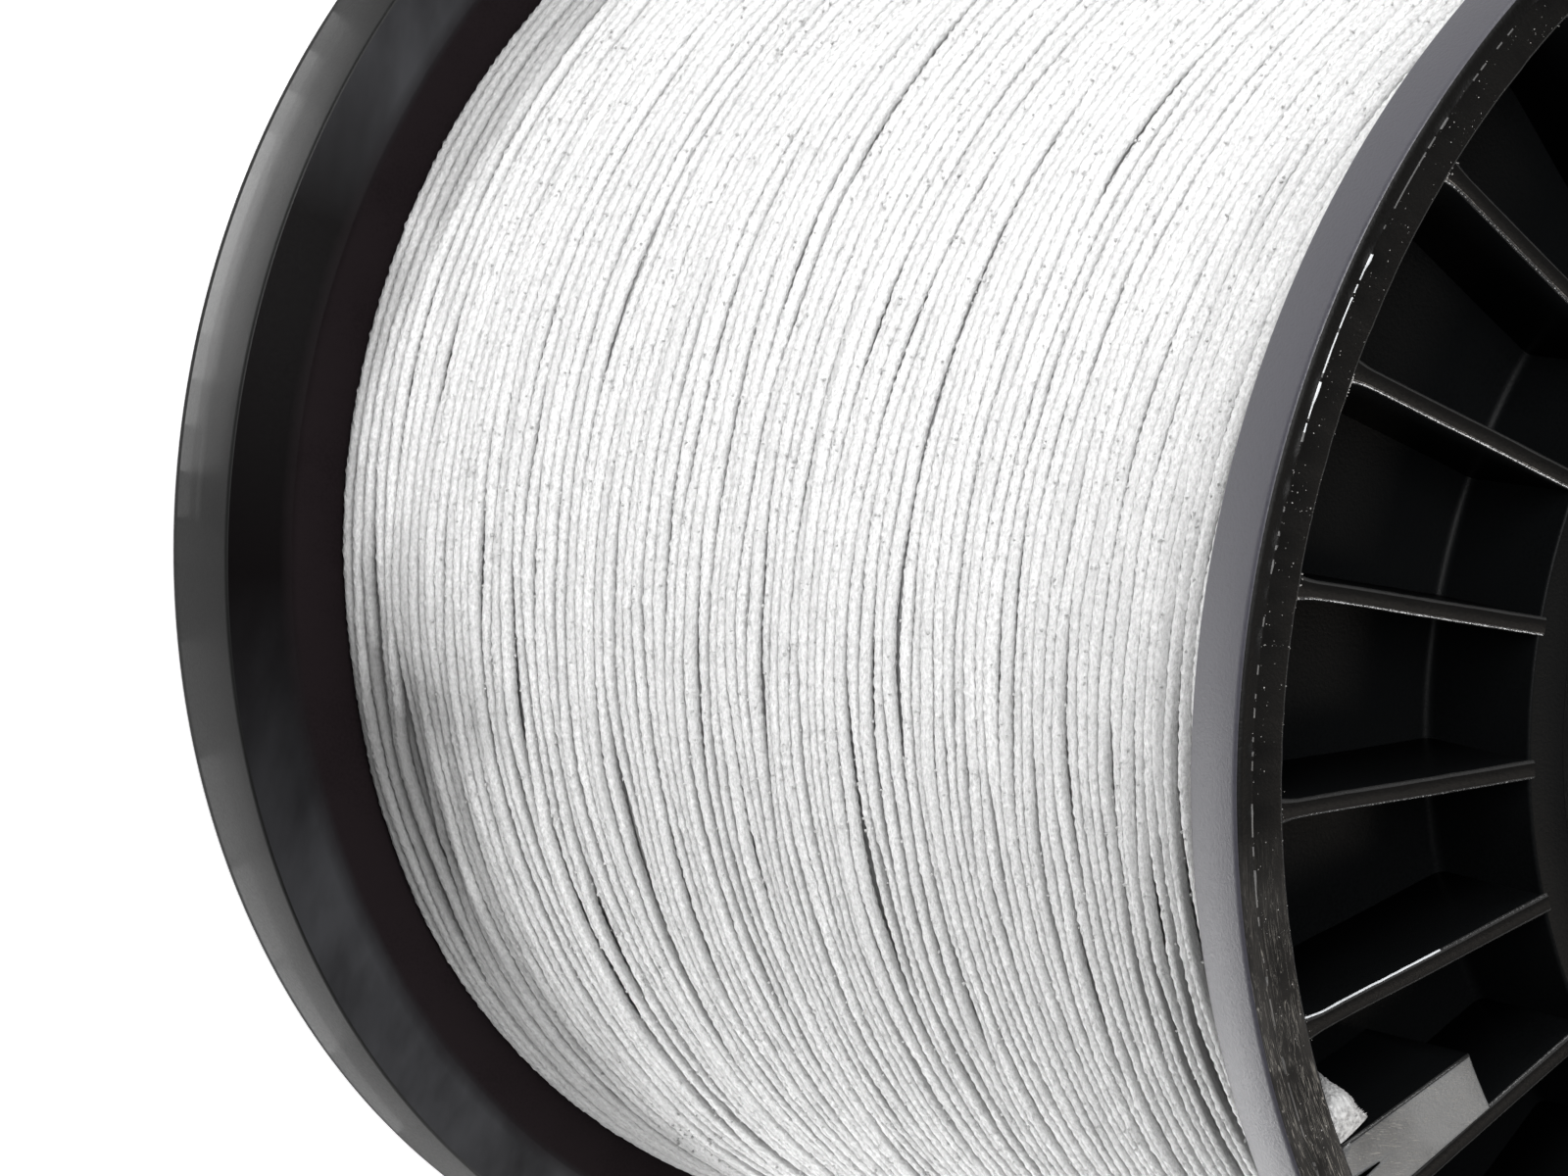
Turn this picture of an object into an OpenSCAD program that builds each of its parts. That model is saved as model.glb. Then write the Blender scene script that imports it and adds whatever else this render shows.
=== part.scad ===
// String reel: two ribbed flange mouldings plug into the ends of a barrel tube,
// which is wound full with braided racket string.
// The reel's axis is +Z. It stands on its far flange, whose end face is at z = 0,
// and the near flange, where the string's free end is parked, is on top.

/* [Reel] */
// Outer diameter of both flanges
flange_d = 75; // [73:0.5:84]
// Width of the reel from end face to end face
reel_w = 73.6; // [60:0.1:90]

/* [Barrel] */
// Outer diameter of the barrel tube
barrel_od = 50; // [49:0.5:53]
// Wall of the barrel tube
barrel_wall = 2; // [1.5:0.1:2.3]
// Chamfer on the ends of the barrel tube
barrel_chamfer = 0.4; // [0.2:0.1:0.8]

/* [Flange rims] */
// Width of the far flange's rim
far_rim_w = 4.4; // [3.6:0.1:4.8]
// Width of the near flange's rim
near_rim_w = 2.7; // [2.2:0.1:3.4]
// Radial width of the flat ring round each end face
ring_w = 2.2; // [1.8:0.1:2.8]
// Radius of the rounded corner between rim and end face
corner_r = 0.4; // [0.2:0.1:0.8]
// Radial width of the cone inside the far rim
far_cone_w = 2.6; // [2:0.1:3.2]
// Radial width of the cone inside the near rim
near_cone_w = 4.1; // [3.6:0.1:4.6]

/* [Flange webs] */
// Depth of the pockets in the far flange's end face
far_pocket = 4.4; // [3.6:0.1:5]
// Depth of the pockets in the near flange's end face
near_pocket = 6.2; // [5.4:0.1:7]
// Thickness of the far flange's web
far_web_t = 1.3; // [1:0.1:1.8]
// Thickness of the near flange's web
near_web_t = 1.2; // [1:0.1:1.8]
// Lean of the pockets' outer wall, in degrees from the reel's axis
wall_lean = 31; // [24:1:33]

/* [Ribs] */
// Number of radial ribs on each flange
rib_count = 26; // [20:1:30]
// Thickness of a rib
rib_t = 0.75; // [0.6:0.05:1]
// How far the tops of the ribs lie below the ring
rib_step = 0.15; // [0.1:0.05:0.4]

/* [Spigots] */
// Wall of the spigots, which line the reel's bore
spigot_wall = 1.85; // [1.2:0.05:2.5]
// How far each flange's spigot reaches into the barrel
spigot_len = 8; // [5:0.5:14]
// Radial clearance between spigot and barrel
spigot_gap = 0.15; // [0.12:0.01:0.25]
// Number of grip ridges round each spigot
ridge_count = 12; // [6:1:18]
// Width of a grip ridge
ridge_w = 1; // [0.6:0.1:1.6]
// Radial clearance between the grip ridges and the barrel
ridge_gap = 0.05; // [0.02:0.01:0.1]
// How far the spigot's outer end lies below the ring
collar_step = 0.3; // [0.2:0.1:0.8]

/* [String] */
// Diameter of the string
string_d = 0.7; // [0.6:0.01:0.85]
// How far the full winding stays below the rims, on the radius
fill_gap = 4.85; // [4.5:0.05:5.4]
// Turns shown in the outer layer, each as wide as a band of the fine string
turns_shown = 24; // [16:1:24]
// Gap between neighbouring turns shown
turn_gap = 0.45; // [0.42:0.01:0.6]
// Clearance between winding, barrel and webs
lay_gap = 0.1; // [0.05:0.01:0.15]

/* [Parking slot] */
// Gap round the string in its parking slot
slot_gap = 0.3; // [0.2:0.05:0.4]
// Length of the slot along its arc
slot_len = 2.8; // [2.2:0.1:3]
// Distance from the rib's middle to the slot's first end
slot_from_rib = 0.9; // [0.7:0.1:1.2]
// Width of the stop pad that the string's end butts against
pad_w = 3.5; // [3:0.1:3.8]
// Radial length of the stop pad
pad_len = 7; // [4:0.5:10]
// Distance from the flat ring to the middle of the parked string's end
end_inset = 1.2; // [1:0.05:1.4]
// Depth of the parked end's middle below the ring
end_depth = 0.5; // [0.45:0.05:0.7]
// Gap between the parked end and the stop pad
end_gap = 0.1; // [0.05:0.05:0.3]

/* [Hidden] */

// How far joined shapes run into each other
bite = 0.5;
// Facets of round surfaces
$fn = 96;

flange_r = flange_d / 2;
ring_in_r = flange_r - ring_w;
barrel_r = barrel_od / 2;
barrel_in_r = barrel_r - barrel_wall;
spigot_r = barrel_in_r - spigot_gap;
bore_r = spigot_r - spigot_wall;
far_web_in = far_pocket + far_web_t;
near_web_in = near_pocket + near_web_t;
barrel_len = reel_w - far_web_in - near_web_in;
rib_pitch = 360 / rib_count;

// Winding: outer layer of turns over a plain body of inner layers
rings_per_turn = 24;
turn_sides = 6;
wind_r = flange_r - fill_gap;
wind_lo = far_web_in + lay_gap;
wind_hi = reel_w - near_web_in - lay_gap;
turn_pitch = (wind_hi - wind_lo + turn_gap) / (turns_shown + 1);
turn_d = turn_pitch - turn_gap;
turn_half_h = turn_d / 2 * cos(180 / turn_sides);
turn_mid_r = wind_r - turn_half_h;
inner_layers_r = turn_mid_r * cos(180 / rings_per_turn) - turn_half_h - lay_gap;

// Parking slot, in the pocket between the third and the fourth rib
slot_rib_a = 2 * rib_pitch;
slot_r = wind_r + slot_gap;
slot_half_w = string_d / 2 + slot_gap;
slot_a = slot_rib_a + arc_angle(slot_from_rib, slot_r);
slot_end_a = slot_a + arc_angle(slot_len, slot_r);
pad_end_a = 3 * rib_pitch;
pad_a = pad_end_a - arc_angle(pad_w, ring_in_r);
pad_in_r = ring_in_r - pad_len;

// Winding direction at the near flange ends just before the parking slot
wind_end_a = slot_rib_a - arc_angle(turn_d, wind_r);

// Angle that an arc of the given length spans at radius r
function arc_angle(length, r) = length / r * 180 / PI;

// Point at radius r and angle a round the reel's axis, at height z
function at(r, a, z) = [r * cos(a), r * sin(a), z];

// Radius of a pocket's outer wall at depth y below the end face
function wall_r(y) = ring_in_r - y * tan(wall_lean);

// Points of the rounded corner between end face and rim
corner_steps = 6;
function corner_points() = [
    for (i = [0 : corner_steps])
        let (a = 90 * i / corner_steps)
        [flange_r - corner_r + corner_r * sin(a), corner_r - corner_r * cos(a)]
];

// Half section of a flange: radius, and depth inward from its end face
function flange_section(rim_w, cone_w, pocket, web_in) = concat(
    [
        [bore_r, collar_step],
        [spigot_r, collar_step],
        [spigot_r, pocket],
        [wall_r(pocket), pocket],
        [ring_in_r, 0]
    ],
    corner_points(),
    [
        [flange_r, rim_w],
        [flange_r - cone_w, web_in],
        [spigot_r, web_in],
        [spigot_r, web_in + spigot_len - spigot_gap],
        [spigot_r - spigot_gap, web_in + spigot_len],
        [bore_r, web_in + spigot_len]
    ]
);

// Outline of one rib, run a little into the collar, the web and the outer wall
function rib_section(pocket) = [
    [spigot_r - bite, rib_step],
    [wall_r(rib_step) + bite, rib_step],
    [wall_r(pocket) + bite, pocket + bite],
    [spigot_r - bite, pocket + bite]
];

module rib(pocket) {
    rotate([90, 0, 0])
        translate([0, 0, -rib_t / 2])
            linear_extrude(rib_t)
                polygon(rib_section(pocket));
}

module grip_ridge(web_in) {
    ridge_h = spigot_gap - ridge_gap;
    translate([spigot_r - bite, -ridge_w / 2, web_in])
        cube([bite + ridge_h, ridge_w, spigot_len - 2 * ridge_h - spigot_gap]);
}

// Flange moulding with its end face at z = 0 and its spigot towards +Z
module flange(rim_w, cone_w, pocket, web_in) {
    rotate_extrude()
        polygon(flange_section(rim_w, cone_w, pocket, web_in));
    for (i = [0 : rib_count - 1])
        rotate([0, 0, i * rib_pitch])
            rib(pocket);
    for (i = [0 : ridge_count - 1])
        rotate([0, 0, i * 360 / ridge_count])
            grip_ridge(web_in);
}

// Solid pad that fills the end of one pocket, level with the ring
module stop_pad() {
    rotate([0, 0, pad_a])
        rotate_extrude(angle = pad_end_a - pad_a)
            polygon([
                [pad_in_r, 0],
                [ring_in_r + bite, 0],
                [wall_r(near_pocket) + bite, near_pocket + bite],
                [pad_in_r, near_pocket + bite]
            ]);
}

// Slot along the reel's axis that the string's end passes through
module parking_slot() {
    rotate([0, 0, slot_a])
        rotate_extrude(angle = slot_end_a - slot_a)
            translate([slot_r - slot_half_w, -bite])
                square([2 * slot_half_w, near_web_in + 2 * bite]);
}

// Turns a part drawn from its end face inward over, onto the reel's near end
module at_near_end() {
    translate([0, 0, reel_w])
        mirror([0, 0, 1])
            children();
}

module near_flange() {
    color("#1b1b1e")
        at_near_end()
            difference() {
                union() {
                    flange(near_rim_w, near_cone_w, near_pocket, near_web_in);
                    stop_pad();
                }
                parking_slot();
            }
}

module far_flange() {
    color("#1b1b1e")
        flange(far_rim_w, far_cone_w, far_pocket, far_web_in);
}

module barrel() {
    color("#2b2b2e")
        translate([0, 0, far_web_in])
            rotate_extrude()
                polygon([
                    [barrel_in_r + barrel_chamfer, 0],
                    [barrel_r, 0],
                    [barrel_r, barrel_len],
                    [barrel_in_r + barrel_chamfer, barrel_len],
                    [barrel_in_r, barrel_len - barrel_chamfer],
                    [barrel_in_r, barrel_chamfer]
                ]);
}

// Tube through rings of points, with triangular faces and flat ends
module tube(rings) {
    sides = len(rings[0]);
    last = (len(rings) - 1) * sides;
    points = [for (ring = rings) each ring];
    walls = [
        for (i = [0 : len(rings) - 2])
            for (k = [0 : sides - 1])
                let (
                    a = i * sides + k,
                    b = i * sides + (k + 1) % sides
                )
                each [[a, a + sides, b], [b, a + sides, b + sides]]
    ];
    start_cap = [for (k = [1 : sides - 2]) [0, k, k + 1]];
    end_cap = [for (k = [1 : sides - 2]) [last, last + k + 1, last + k]];
    polyhedron(points, concat(walls, start_cap, end_cap));
}

module string_inner_layers() {
    color("#e4e4e2")
        translate([0, 0, wind_lo])
            rotate_extrude()
                polygon([
                    [barrel_r + lay_gap, 0],
                    [inner_layers_r, 0],
                    [inner_layers_r, wind_hi - wind_lo],
                    [barrel_r + lay_gap, wind_hi - wind_lo]
                ]);
}

// One ring of a turn: centre at angle a and height z, moved on along the turn by ahead
function turn_ring(a, z, ahead) = [
    for (k = [0 : turn_sides - 1])
        let (
            q = 360 * k / turn_sides,
            out = turn_mid_r + turn_d / 2 * sin(q)
        )
        at(out, a, z + turn_d / 2 * cos(q)) + ahead * [-sin(a), cos(a), 0]
];

// Outer layer: rises from the far web to the near web, and each end runs straight on
turn_steps = turns_shown * rings_per_turn;
function step_a(i) = wind_end_a + (i - turn_steps) * 360 / rings_per_turn;
function step_z(i) = wind_lo + turn_d / 2 + turn_pitch * i / rings_per_turn;
turn_rings = concat(
    [turn_ring(step_a(0), step_z(0), -turn_d)],
    [for (i = [0 : turn_steps]) turn_ring(step_a(i), step_z(i), 0)],
    [turn_ring(step_a(turn_steps), step_z(turn_steps), turn_d)]
);

// Least distance between the points of rings one turn apart
turn_clearance = min([
    for (i = [0 : turn_steps + 2 - rings_per_turn + 1])
        for (j = [i + rings_per_turn - 1 : min(i + rings_per_turn + 1, turn_steps + 2)])
            for (p = turn_rings[i])
                for (q = turn_rings[j])
                    norm(p - q)
]);
echo(least_gap_between_turns = turn_clearance);

module string_outer_turns() {
    color("#f2f2f0")
        tube(turn_rings);
}

// Free end: out of the winding, through the parking slot and up to the stop pad.
// Its points are radius, angle and depth below the near end face.
end_sides = 8;
end_steps = 12;
slot_mouth = (ring_in_r - slot_r) / tan(wall_lean);
slot_mid_a = (slot_a + slot_end_a) / 2;
end_r = ring_in_r - end_inset;
end_a = pad_a - arc_angle(end_gap, end_r);
end_bend = [
    [slot_r, slot_mid_a, slot_mouth + 2 * string_d],
    [slot_r, slot_mid_a, slot_mouth - 3 * string_d],
    [end_r, end_a - arc_angle(3.4 * string_d, end_r), end_depth],
    [end_r, end_a - arc_angle(string_d, end_r), end_depth]
];

// Point at t on the bend between its four guide points
function bend_at(t) =
    pow(1 - t, 3) * end_bend[0]
    + 3 * pow(1 - t, 2) * t * end_bend[1]
    + 3 * (1 - t) * pow(t, 2) * end_bend[2]
    + pow(t, 3) * end_bend[3];

end_route = concat(
    [[slot_r, slot_mid_a, near_web_in + string_d]],
    [for (i = [0 : end_steps]) bend_at(i / end_steps)],
    [[end_r, end_a, end_depth]]
);
end_points = [for (p = end_route) at(p[0], p[1], reel_w - p[2])];

// Direction of the free end at its point i
function end_way(i) =
    let (
        before = end_points[max(i - 1, 0)],
        after = end_points[min(i + 1, len(end_points) - 1)]
    )
    (after - before) / norm(after - before);

// One ring of the free end, square to its direction
function end_ring(i) =
    let (
        way = end_way(i),
        outward = at(1, end_route[i][1], 0),
        side = cross(way, outward) / norm(cross(way, outward)),
        up = cross(side, way)
    )
    [
        for (k = [0 : end_sides - 1])
            let (q = -360 * k / end_sides)
            end_points[i] + string_d / 2 * (cos(q) * side + sin(q) * up)
    ];

module string_free_end() {
    color("#f2f2f0")
        tube([for (i = [0 : len(end_points) - 1]) end_ring(i)]);
}

near_flange();
far_flange();
barrel();
string_inner_layers();
string_outer_turns();
string_free_end();
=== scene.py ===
"""Looks of the string reel: two black flange mouldings, a barrel and a full winding of braided string."""

import math

import bpy
import numpy as np
from mathutils import Matrix, Vector


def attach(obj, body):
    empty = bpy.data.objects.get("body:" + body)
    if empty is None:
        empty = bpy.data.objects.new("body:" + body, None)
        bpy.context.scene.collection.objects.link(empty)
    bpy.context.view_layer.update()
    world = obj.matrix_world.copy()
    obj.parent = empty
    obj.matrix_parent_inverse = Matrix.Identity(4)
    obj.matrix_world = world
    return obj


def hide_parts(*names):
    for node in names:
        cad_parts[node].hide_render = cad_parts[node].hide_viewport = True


MM = 0.001

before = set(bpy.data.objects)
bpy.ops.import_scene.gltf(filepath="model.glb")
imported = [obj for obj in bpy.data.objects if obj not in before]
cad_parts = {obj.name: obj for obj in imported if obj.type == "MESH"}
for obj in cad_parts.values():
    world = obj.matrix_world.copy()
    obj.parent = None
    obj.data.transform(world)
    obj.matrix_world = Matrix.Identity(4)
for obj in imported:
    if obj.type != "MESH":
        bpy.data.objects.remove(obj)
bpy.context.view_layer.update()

# ---------------------------------------------------------------- sizes, in mm, as in the CAD source
FLANGE_R = 37.5
REEL_W = 73.6
RING_IN_R = 35.3
BORE_R = 21.0
SPIGOT_R = 22.85
SPIGOT_LEN = 8.0
COLLAR_STEP = 0.3
CORNER_R = 0.4
WALL_SLOPE = math.tan(math.radians(31))
RIB_COUNT = 26
RIB_T = 0.75
RIB_STEP = 0.15
FAR = {"rim_w": 4.4, "cone_w": 2.6, "pocket": 4.4, "web_in": 5.7}
NEAR = {"rim_w": 2.7, "cone_w": 4.1, "pocket": 6.2, "web_in": 7.4}
STRING_D = 0.7
WIND_R = 32.65
WIND_LO = FAR["web_in"] + 0.1
WIND_HI = REEL_W - NEAR["web_in"] - 0.1
BARREL_R = 25.0
CORE_R = 31.3
SLOT_ARC = (29.26, 34.13)
SLOT_R = (32.3, 33.6)
PAD_ARC = (35.86, 3 * 360 / RIB_COUNT)
PAD_IN_R = 28.3
# The end ring's parting line, the arc where it gets a painted glint, and the angle of the weld line across it
PARTING_R = 36.75
PARTING_HALF = 0.035
PAINTED_GLINT_ARC = (-21, -9)
WELD_A = 3.6


# ---------------------------------------------------------------- node helpers
class Nodes:
    """A material's node tree, with short calls for the nodes that the finishes need."""

    def __init__(self, name):
        self.material = bpy.data.materials.new(name)
        self.material.use_nodes = True
        self.tree = self.material.node_tree
        self.shader = self.tree.nodes["Principled BSDF"]

    def add(self, kind, inputs=(), **settings):
        node = self.tree.nodes.new(kind)
        for key, value in settings.items():
            setattr(node, key, value)
        for key, value in dict(inputs).items():
            self.put(node.inputs[key], value)
        return node

    def put(self, socket, value):
        if isinstance(value, bpy.types.NodeSocket):
            self.tree.links.new(value, socket)
        else:
            socket.default_value = value

    def set(self, **values):
        for key, value in values.items():
            self.put(self.shader.inputs[key.replace("_", " ")], value)

    def uv(self, scale):
        coords = self.add("ShaderNodeUVMap", uv_map="UVMap")
        return self.add(
            "ShaderNodeVectorMath",
            {0: coords.outputs[0], 1: scale},
            operation="MULTIPLY",
        ).outputs[0]

    def place(self, scale):
        coords = self.add("ShaderNodeTexCoord")
        return self.add(
            "ShaderNodeVectorMath",
            {0: coords.outputs["Object"], 1: scale},
            operation="MULTIPLY",
        ).outputs[0]

    def noise(self, vector, scale=1.0, detail=2.0, roughness=0.5, distortion=0.0):
        return self.add(
            "ShaderNodeTexNoise",
            {
                "Vector": vector,
                "Scale": scale,
                "Detail": detail,
                "Roughness": roughness,
                "Distortion": distortion,
            },
        ).outputs["Fac"]

    def ramp(self, fac, low, high, start=0.0, end=1.0):
        return self.add(
            "ShaderNodeMapRange",
            {
                "Value": fac,
                "From Min": low,
                "From Max": high,
                "To Min": start,
                "To Max": end,
            },
        ).outputs["Result"]

    def math(self, operation, a, b=0.0):
        return self.add("ShaderNodeMath", {0: a, 1: b}, operation=operation).outputs[0]

    def blend(self, fac, a, b):
        node = self.add("ShaderNodeMix", data_type="RGBA")
        self.put(node.inputs[0], fac)
        self.put(node.inputs[6], a)
        self.put(node.inputs[7], b)
        return node.outputs[2]

    def parts(self, vector):
        return self.add("ShaderNodeSeparateXYZ", {"Vector": vector}).outputs[:3]

    def angle(self, x, y):
        """Degrees round the reel's axis, from its +X."""
        return self.math("MULTIPLY", self.math("ARCTAN2", y, x), 180 / math.pi)

    def bump(self, height, distance, strength=1.0, normal=None):
        node = self.add(
            "ShaderNodeBump",
            {"Height": height, "Distance": distance, "Strength": strength},
        )
        if normal is not None:
            self.put(node.inputs["Normal"], normal)
        return node.outputs["Normal"]


def grey(value, tint=(1.0, 1.0, 1.0)):
    """A colour of one tone, times a slight tint."""
    return (value * tint[0], value * tint[1], value * tint[2], 1.0)


# ---------------------------------------------------------------- materials
def plastic(name, base, roughness, shine=0.5, grain=0.0, mottle=0.2, marks_and_light=None, painted_sheen=0.0):
    """Moulded plastic with clouds and fine grain.

    marks_and_light is the first and last place, in mm round the rim, of an area with flowlines and painted
    light that lifts its colour, and painted_sheen is the tone of a bluish painted sheen at the cone's sides,
    standing in for the lamps' reflections.
    """
    m = Nodes(name)
    uv = m.uv((1.0, 1.0, 1.0))
    cloud = m.noise(m.place((1.0, 1.0, 1.0)), scale=180.0, detail=4.0)
    fine = m.noise(m.place((1.0, 1.0, 1.0)), scale=7000.0, detail=2.0, roughness=0.7)
    clouded = m.ramp(cloud, 0.3, 0.7, 1 - mottle, 1 + mottle)
    tone = m.math("MULTIPLY", clouded, m.ramp(fine, 0.3, 0.7, 0.8, 1.2))
    colour = m.blend(tone, grey(0.0), base)
    normal = m.bump(fine, 0.00002 * grain, 0.6)
    if marks_and_light:
        wave = m.noise(m.uv((0.16, 4.0, 1.0)), scale=1.0, detail=3.5, roughness=0.65, distortion=0.8)
        contour = m.math("SUBTRACT", m.math("FRACT", m.math("MULTIPLY", wave, 9.0)), 0.5)
        line = m.ramp(m.math("ABSOLUTE", contour), 0.1, 0.0)
        place = m.parts(uv)[0]
        area = m.math("MULTIPLY", m.ramp(place, marks_and_light[0], marks_and_light[0] + 9), m.ramp(place, marks_and_light[1], marks_and_light[1] - 9))
        patchy = m.ramp(m.noise(m.uv((0.5, 1.2, 1.0)), scale=0.7, detail=3.0), 0.35, 0.5)
        broken = m.ramp(m.noise(m.uv((0.9, 4.0, 1.0)), scale=1.0, detail=2.0), 0.36, 0.48)
        mark = m.math("MULTIPLY", m.math("MULTIPLY", m.math("MULTIPLY", line, area), patchy), broken)
        # Painted light: in this span the colour rises up to fifteen times, in clouds, standing in for more
        # light on this part of the ring and the pad.
        painted_light = m.math("MULTIPLY", area, m.ramp(cloud, 0.35, 0.6, 0.25, 1.0))
        colour = m.blend(painted_light, colour, tuple(15 * c for c in base[:3]) + (1.0,))
        colour = m.blend(mark, colour, grey(0.24, (1.0, 0.95, 0.86)))
        normal = m.bump(mark, 0.00002, 0.5, normal)
    if painted_sheen:
        x, y, _ = m.parts(m.place((1.0, 1.0, 1.0)))
        around = m.angle(x, y)
        reach = m.math("SQRT", m.math("ADD", m.math("MULTIPLY", x, x), m.math("MULTIPLY", y, y)))
        cone = m.ramp(reach, 0.0346, 0.0354)
        # Painted sheen: the cone's own colour goes darker, and at its two sides bluish wisps are painted
        # where the lamps' reflections fall.
        colour = m.blend(m.math("MULTIPLY", cone, 0.8), colour, grey(0.0))
        sides = m.math("MAXIMUM", m.ramp(around, -13.0, -25.0), m.ramp(around, 12.0, 38.0))
        wisps = m.ramp(m.noise(m.place((260.0, 60.0, 260.0)), detail=4.0, roughness=0.6), 0.3, 0.7, 0.35, 1.2)
        sheen_mask = m.math("MULTIPLY", m.math("MULTIPLY", cone, sides), wisps)
        colour = m.blend(sheen_mask, colour, grey(painted_sheen, (0.96, 0.98, 1.06)))
    m.set(Base_Color=colour, IOR=1.5, Specular_IOR_Level=shine, Normal=normal)
    m.set(Roughness=m.ramp(fine, 0.2, 0.8, roughness - 0.06, roughness + 0.06))
    return m.material


def painted_shade(m, gaps, creases):
    """How far painted shade darkens the string: beside the far flange, in gaps and in creases.

    Heights are in mm above the far end face, and angles in degrees round the reel.
    """
    x, y, level = m.parts(m.place((1000.0, 1000.0, 1000.0)))
    around = m.angle(x, y)
    streaks = m.noise(m.place((90.0, 90.0, 1100.0)), detail=3.0, roughness=0.6)
    drift = m.noise(m.place((130.0, 130.0, 130.0)), detail=2.0)
    height = m.math("ADD", level, m.ramp(streaks, 0.3, 0.7, -1.5, 1.5))
    height = m.math("ADD", height, m.ramp(drift, 0.3, 0.7, -1.6, 1.6))
    around = m.math("ADD", around, m.ramp(streaks, 0.3, 0.7, -5.0, 5.0))
    # Painted shade beside the far flange: all round at the foot, higher at the top, and highest and darkest
    # at the lower front.
    foot = m.ramp(height, 8.8, 6.2, 0.0, 0.45)
    upper = m.math("MULTIPLY", m.ramp(height, 11.5, 8.5, 0.0, 0.45), m.ramp(around, -9.0, -19.0))
    front = m.math("MULTIPLY", m.ramp(height, 17.5, 10.5, 0.0, 0.82), m.ramp(around, 7.0, 23.0))
    front = m.math("MULTIPLY", front, m.ramp(around, 48.0, 30.0, 0.72, 1.0))
    # dust holds the painted shade: the darkest of the three.
    dust = m.math("MAXIMUM", foot, m.math("MAXIMUM", upper, front))
    # Painted shade in gaps: the layer below darkens past the front, most beside the near flange.
    if gaps:
        deep = m.math("MULTIPLY", m.ramp(level, 44.0, 60.0, 0.65, 0.95), m.ramp(around, 4.0, 20.0))
        dust = m.math("MAXIMUM", dust, deep)
    # Painted shade in creases: the strands' flanks darken in stretches, most past the front and beside the
    # near flange.
    if creases:
        girdle = m.parts(m.uv((1.0, 1.0, 1.0)))[1]
        stretch = m.noise(m.uv((0.04, 0.0, 0.0)), detail=2.0, roughness=0.6)
        depth = m.math("MULTIPLY", m.ramp(girdle, 0.46, 0.26), m.ramp(stretch, 0.38, 0.62, 0.15, 0.95))
        depth = m.math("MULTIPLY", depth, m.ramp(around, 4.0, 30.0, 0.1, 1.0))
        depth = m.math("MULTIPLY", depth, m.ramp(level, 54.0, 62.0, 0.62, 1.0))
        dust = m.math("MAXIMUM", dust, depth)
    return dust


def string_finish(name, low=0.58, high=0.95, gaps=False, creases=False):
    """White braid: filament lines across each strand's diamonds, uneven tone along it, and painted shade."""
    m = Nodes(name)
    uv = m.uv((1.0, 1.0, 1.0))
    cloud = m.noise(uv, scale=0.35, detail=3.0, roughness=0.6)
    cell = m.noise(m.uv((3.4, 6.0, 1.0)), scale=1.3, detail=3.0, roughness=0.65)
    filament = m.noise(m.uv((6.0, 16.0, 1.0)), scale=1.0, detail=2.0, roughness=0.6)
    white = m.blend(m.ramp(cell, 0.35, 0.65), grey(low), grey(high))
    by_turn = m.noise(m.uv((0.05, 0.0, 0.0)), scale=1.0, detail=2.0)
    shade = m.math("ADD", m.ramp(cloud, 0.35, 0.65, 0.0, 0.2), m.ramp(by_turn, 0.4, 0.65, 0.0, 0.3))
    unshaded = m.blend(shade, white, grey(low * 0.85))
    # Painted shade: the braid goes towards dark grey where the shade mask is high.
    m.set(
        Base_Color=m.blend(painted_shade(m, gaps, creases), unshaded, grey(0.1, (1.0, 0.99, 0.98))),
        Roughness=0.55,
        IOR=1.5,
        Normal=m.bump(filament, 0.00006, 0.8, m.bump(cell, 0.0001, 0.7)),
    )
    return m.material


NEAR_RIM = plastic("satin_rim", grey(0.034, (1, 0.97, 1.3)), 0.36, shine=0.68, grain=1.2, mottle=0.05)
FAR_RIM = plastic("gloss_rim", grey(0.004), 0.45, shine=0.2, grain=0.3)
# The cone of the inner face carries a painted sheen at its sides.
INNER = plastic("inner_face", grey(0.009, (1.2, 0.9, 1.0)), 0.4, shine=0.025, grain=0.3, painted_sheen=0.034)
# The end ring takes flowlines and painted light from 9.5 to 60 mm round its rim.
FACE = plastic(
    "end_ring", grey(0.003, (1.05, 1.0, 0.95)), 0.45, shine=0.12, grain=1.5, mottle=0.35, marks_and_light=(9.5, 60)
)
POCKET = plastic("pocket_walls", grey(0.003, (0.9, 1.0, 1.08)), 0.4, shine=0.06, grain=1.0)
WORN = plastic("worn_edges", grey(0.02), 0.22, shine=0.6, grain=2.0)
# The pad top takes flowlines and painted light all over.
PAD_TOP = plastic(
    "pad_top_marks_and_painted_light", grey(0.009, (0.97, 1.0, 1.02)), 0.4, grain=2.0, mottle=0.4, marks_and_light=(-99, 99)
)
# The parting line's ridge is real flash; its light grey colour is a painted highlight along it.
FLASH_HIGHLIGHT = plastic("flash_painted_highlight", grey(0.1), 0.35, grain=2.0, mottle=0.8)
# A near-white finish that paints glints, on one rib's edge and on one arc of the parting line: painted
# highlights.
GLINT_PAINT = plastic("painted_glint_edge", grey(0.65, (0.97, 1.0, 1.03)), 0.3)
SPECK = plastic("light_specks", grey(0.3, (1.0, 0.98, 0.95)), 0.5)
TUBE = plastic("barrel_plastic", grey(0.02), 0.55, grain=1.5)
# Every braid takes painted shade beside the far flange; the white braid also takes it in its creases.
STRING = string_finish("white_braid", creases=True)
# The darker braid is a shaded copy of the white one: painted shade for the layers below and the core, with
# more in their gaps.
SHADED = string_finish("braid_below_painted_shade", 0.4, 0.6, gaps=True)
PARKED = string_finish("parked_braid", 0.25, 0.6)
FUZZ = string_finish("braid_fuzz", 0.93, 0.96)


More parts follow.
